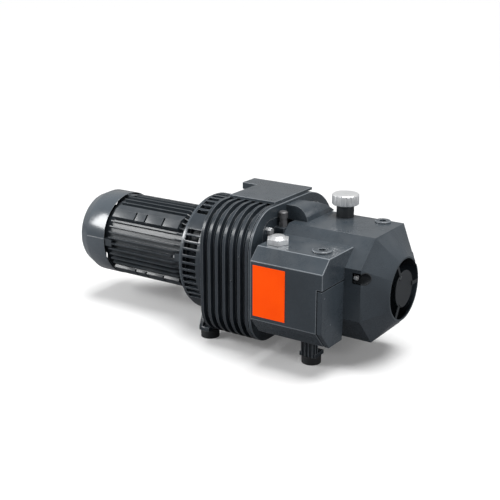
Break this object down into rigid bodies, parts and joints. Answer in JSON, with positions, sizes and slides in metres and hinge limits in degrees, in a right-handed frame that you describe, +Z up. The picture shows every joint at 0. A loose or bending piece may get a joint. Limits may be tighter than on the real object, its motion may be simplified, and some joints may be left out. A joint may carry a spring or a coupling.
{
  "type": "rotary vane compressor",
  "caption": "Oil-free rotary vane compressor with a finned flange motor, ribbed cooling hood, filter box, relief valve knob and rubber feet.",
  "frame": {"origin": "on the floor at the centre of the four rubber feet", "axes": "+X along the shaft from the motor to the cooling-air inlet, -Y towards the front with the filter box and the label, +Z up"},
  "size_m": [0.9455, 0.4506, 0.3773],
  "materials": {
    "body_paint": "satin slate grey paint",
    "hood_paint": "glossy dark grey paint",
    "motor_paint": "satin dark grey paint",
    "cast": "machined and bare",
    "steel": "turned",
    "zinc": "bright zinc plated",
    "silver": "satin",
    "rubber": "matt",
    "plastic": "matt",
    "label": "printed film",
    "copper": "enamelled wire",
    "carbon": "pressed carbon",
    "paper": "pleated",
    "laminate": "stacked sheets"
  },
  "bodies": {
    "compressor": {"motor_fan_cowl": "motor_paint", "motor_rear_shield": "motor_paint", "motor_frame": "motor_paint", "motor_front_shield": "motor_paint", "stator_core": "laminate", "stator_windings": "copper", "motor_bearings": "steel", "terminal_box": "motor_paint", "terminal_lid": "motor_paint", "terminal_screws": "zinc", "cable_gland": "plastic", "motor_tie_screws": "zinc", "motor_flange_screws": "zinc", "coupling_housing": "hood_paint", "pump_cover_motor_side": "cast", "pump_cover_inlet_side": "hood_paint", "pump_cover_bolts": "zinc", "pump_bearings": "steel", "shaft_seal": "rubber", "pump_cylinder": "cast", "ribbed_hood": "hood_paint", "hood_end_plate": "body_paint", "hood_motor_plate": "hood_paint", "duct_cover": "body_paint", "air_duct": "body_paint", "end_housing": "body_paint", "inlet_guard": "plastic", "filter_box": "body_paint", "silencer_cover": "body_paint", "label_plate": "label", "filter_element": "paper", "filter_caps": "plastic", "valve_stem": "plastic", "valve_spring": "steel", "housing_port_plug": "body_paint", "box_port_plug": "body_paint", "box_fitting": "zinc", "duct_fitting": "cast", "rubber_feet": "rubber", "foot_brackets_motor_side": "hood_paint", "foot_bracket_inlet_side_front": "hood_paint", "foot_bracket_inlet_side_back": "hood_paint"},
    "rotor": {"motor_shaft": "steel", "motor_rotor": "laminate", "motor_fan": "plastic", "coupling_hub_motor": "steel", "coupling_star": "rubber", "coupling_hub_pump": "steel", "pump_shaft": "steel", "pump_rotor": "cast", "pump_fan": "plastic"},
    "knob": {"valve_knob": "silver"},
    "spring_plate": {"valve_spring_plate": "steel"},
    "poppet": {"valve_poppet": "steel"},
    "vane_1": {"vane_1": "carbon"},
    "vane_2": {"vane_2": "carbon"},
    "vane_3": {"vane_3": "carbon"},
    "vane_4": {"vane_4": "carbon"},
    "vane_5": {"vane_5": "carbon"},
    "vane_6": {"vane_6": "carbon"}
  },
  "joints": [
    {"name": "rotor_spin", "type": "hinge", "parent": "compressor", "child": "rotor", "pos_m": [0, 0, 0.181], "axis": [1, 0, 0], "continuous": true},
    {"name": "vane_slide_1", "type": "slide", "parent": "rotor", "child": "vane_1", "axis": [0, 1, 0], "range_m": [0, 0.0095]},
    {"name": "vane_slide_2", "type": "slide", "parent": "rotor", "child": "vane_2", "axis": [0, 0.5, 0.866], "range_m": [0, 0.0013]},
    {"name": "vane_slide_3", "type": "slide", "parent": "rotor", "child": "vane_3", "axis": [0, -0.5, 0.866], "range_m": [0, 0.0013]},
    {"name": "vane_slide_4", "type": "slide", "parent": "rotor", "child": "vane_4", "axis": [0, -1, 0], "range_m": [0, 0.0095]},
    {"name": "vane_slide_5", "type": "slide", "parent": "rotor", "child": "vane_5", "axis": [0, -0.5, -0.866], "range_m": [0, 0.0013]},
    {"name": "vane_slide_6", "type": "slide", "parent": "rotor", "child": "vane_6", "axis": [0, 0.5, -0.866], "range_m": [0, 0.0013]},
    {"name": "knob_turn", "type": "hinge", "parent": "compressor", "child": "knob", "pos_m": [0.128, 0.056, 0.363], "axis": [0, 0, -1], "range_deg": [0, 1200]},
    {"name": "spring_plate_feed", "type": "slide", "parent": "compressor", "child": "spring_plate", "axis": [0, 0, -1], "range_m": [0, 0.0051], "deforming": ["valve_spring"]},
    {"name": "poppet_lift", "type": "slide", "parent": "compressor", "child": "poppet", "axis": [0, 0, 1], "range_m": [0, 0.003], "stiffness_N_per_m": 2000, "deforming": ["valve_spring"]}
  ],
  "couplings": [
    {"joint": "spring_plate_feed", "follows": "knob_turn", "m_per_rad": 0.00023873}
  ]
}
